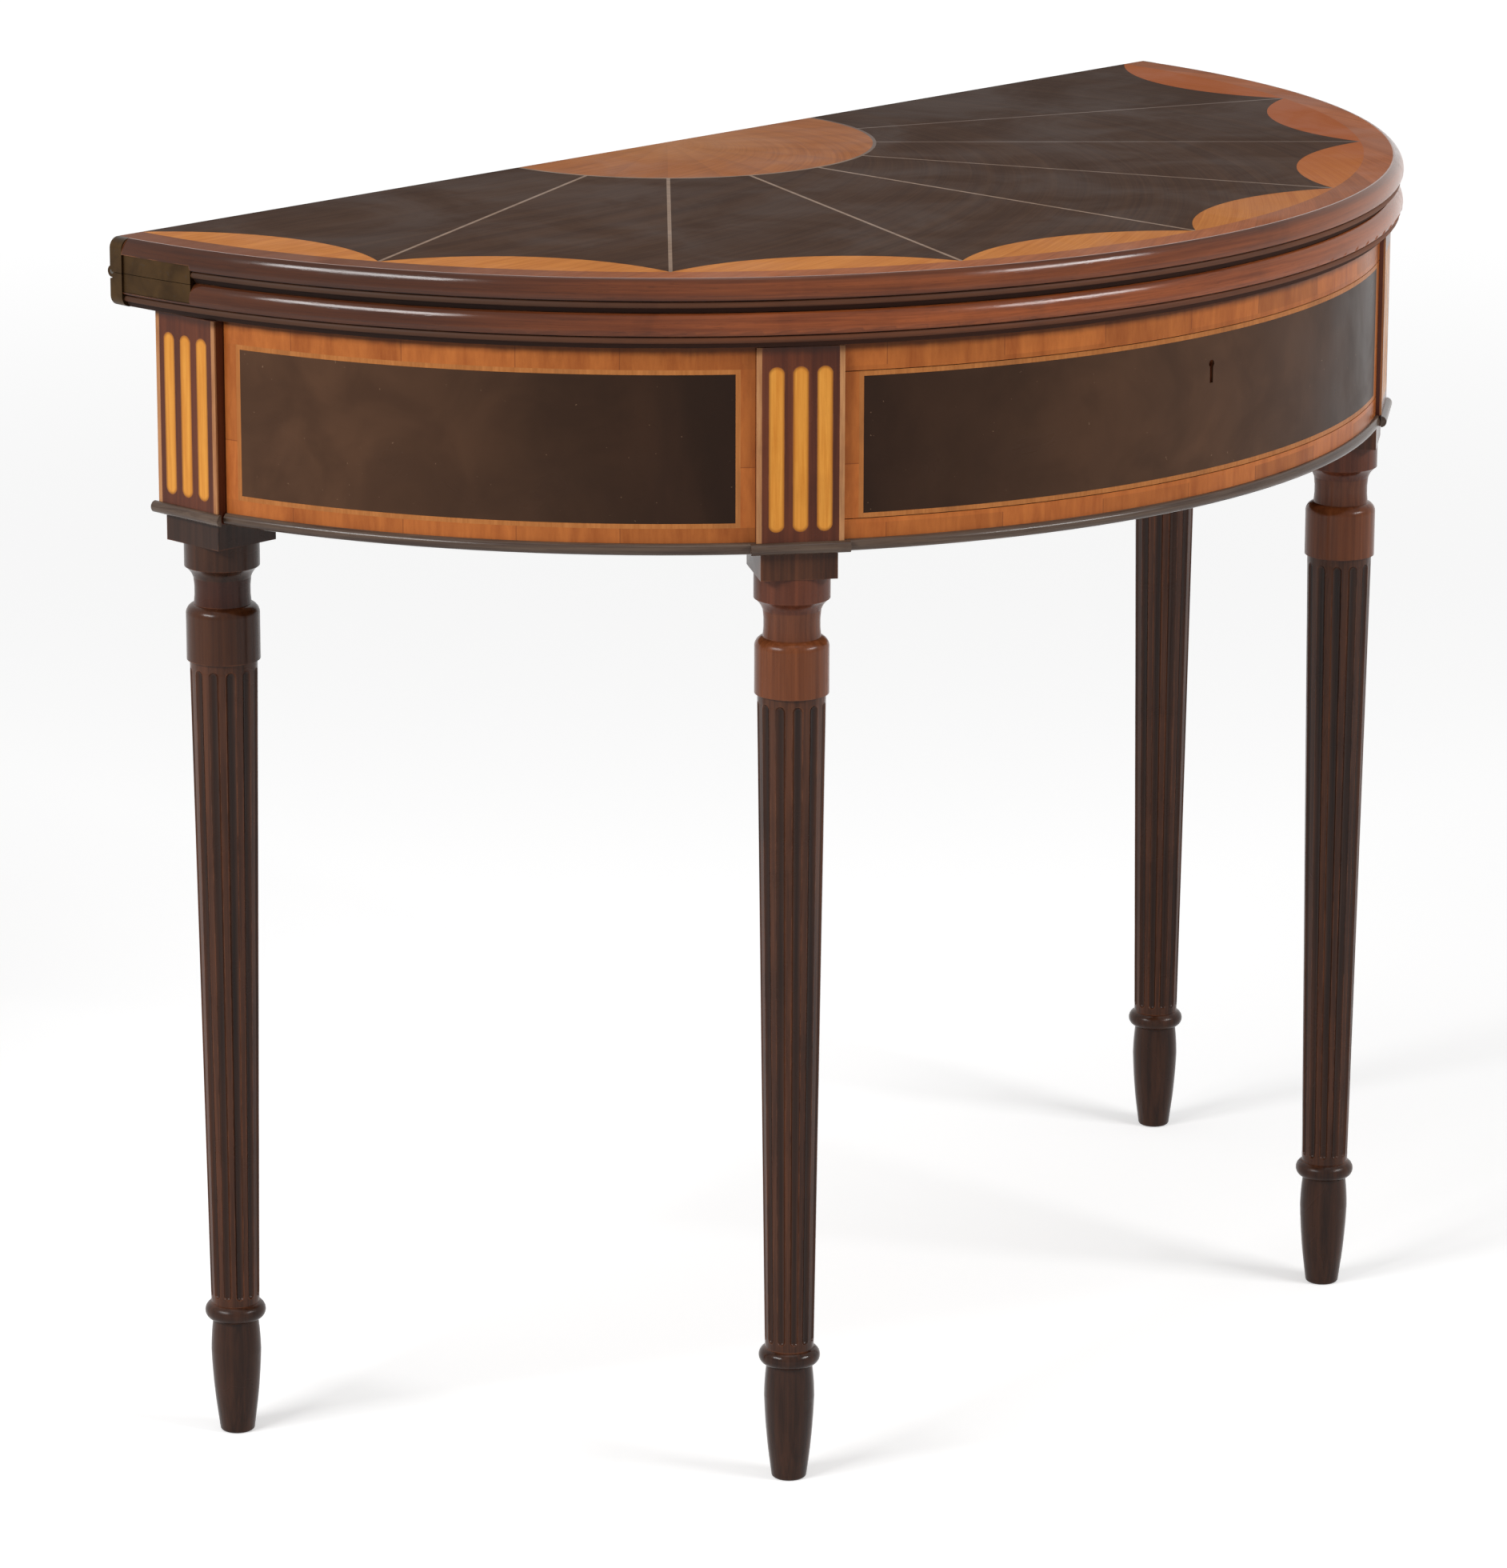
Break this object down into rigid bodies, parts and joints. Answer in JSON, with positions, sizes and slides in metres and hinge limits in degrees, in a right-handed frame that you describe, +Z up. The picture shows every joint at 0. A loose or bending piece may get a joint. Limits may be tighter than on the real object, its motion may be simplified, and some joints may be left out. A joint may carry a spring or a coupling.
{
  "type": "demilune fold-over table",
  "caption": "Half-round inlaid fold-over table with a hinged top leaf, gate legs at the back, a frieze drawer and fluted turned legs.",
  "frame": {"origin": "centre of the bounding box on the floor, under the middle of the table", "axes": "+X along the straight back edge, the round front faces -Y, +Z up"},
  "size_m": [0.92, 0.4636, 0.73],
  "materials": {
    "mahogany": "french polished, worn on the edges",
    "dark_veneer": "french polished figured veneer",
    "satinwood": "polished veneer",
    "crossband": "polished veneer, grain across the band",
    "stringing": "polished",
    "fan_veneer": "polished veneer, hot-sand shaded",
    "oak": "bare planed wood",
    "brass": "aged",
    "steel": "plain"
  },
  "bodies": {
    "carcase": {"lower_leaf": "mahogany", "lower_hinge_plates": "brass", "hinge_pins": "brass", "lower_hinge_screws": "brass", "front_leg_left": "mahogany", "front_leg_right": "mahogany", "front_pilaster_bars": "satinwood", "front_pilaster_strings": "stringing", "front_pilaster_bead": "mahogany", "frieze_rail_left": "mahogany", "frieze_rail_right": "mahogany", "frieze_crossband_left": "crossband", "frieze_crossband_right": "crossband", "frieze_string_left": "stringing", "frieze_string_right": "stringing", "frieze_veneer_left": "dark_veneer", "frieze_veneer_right": "dark_veneer", "frieze_bead": "mahogany", "drawer_top_rail": "mahogany", "drawer_bottom_rail": "mahogany", "rail_crossbands": "crossband", "back_rail": "oak", "gate_hinge_block": "oak", "gate_pins": "steel", "drawer_runners": "oak", "drawer_guides": "oak", "drawer_kickers": "oak", "drawer_stops": "oak", "glue_blocks": "oak", "top_screws": "steel"},
    "folding_leaf": {"upper_leaf": "mahogany", "upper_hinge_plates": "brass", "upper_hinge_screws": "brass", "top_ground_wedges": "dark_veneer", "top_scallops": "satinwood", "top_rim_crossband": "crossband", "top_radial_strings": "stringing", "fan_border_string": "stringing", "fan_segments": "fan_veneer", "fan_boss": "fan_veneer"},
    "gate_left": {"fly_rail_left": "oak", "rear_leg_left": "mahogany", "rear_left_pilaster_bars": "satinwood", "rear_left_pilaster_strings": "stringing", "rear_left_pilaster_bead": "mahogany"},
    "gate_right": {"fly_rail_right": "oak", "rear_leg_right": "mahogany", "rear_right_pilaster_bars": "satinwood", "rear_right_pilaster_strings": "stringing", "rear_right_pilaster_bead": "mahogany"},
    "drawer": {"drawer_front": "mahogany", "drawer_end_bands": "crossband", "drawer_strings": "stringing", "drawer_front_veneer": "dark_veneer", "drawer_bottom": "oak", "drawer_side_left": "oak", "drawer_side_right": "oak", "drawer_back": "oak", "lock_case": "brass"},
    "bolt": {"lock_bolt": "brass"}
  },
  "joints": [
    {"name": "leaf_fold", "type": "hinge", "parent": "carcase", "child": "folding_leaf", "pos_m": [0, 0.22833, 0.70985], "axis": [-1, 0, 0], "range_deg": [0, 180]},
    {"name": "gate_left_swing", "type": "hinge", "parent": "carcase", "child": "gate_left", "pos_m": [-0.095, 0.16317, 0.63], "axis": [0, 0, -1], "range_deg": [0, 70]},
    {"name": "gate_right_swing", "type": "hinge", "parent": "carcase", "child": "gate_right", "pos_m": [0.095, 0.16317, 0.63], "axis": [0, 0, 1], "range_deg": [0, 70]},
    {"name": "drawer_slide", "type": "slide", "parent": "carcase", "child": "drawer", "axis": [0, -1, 0], "range_m": [0, 0.2]},
    {"name": "bolt_throw", "type": "slide", "parent": "drawer", "child": "bolt", "axis": [0, 0, 1], "range_m": [0, 0.0065]}
  ]
}
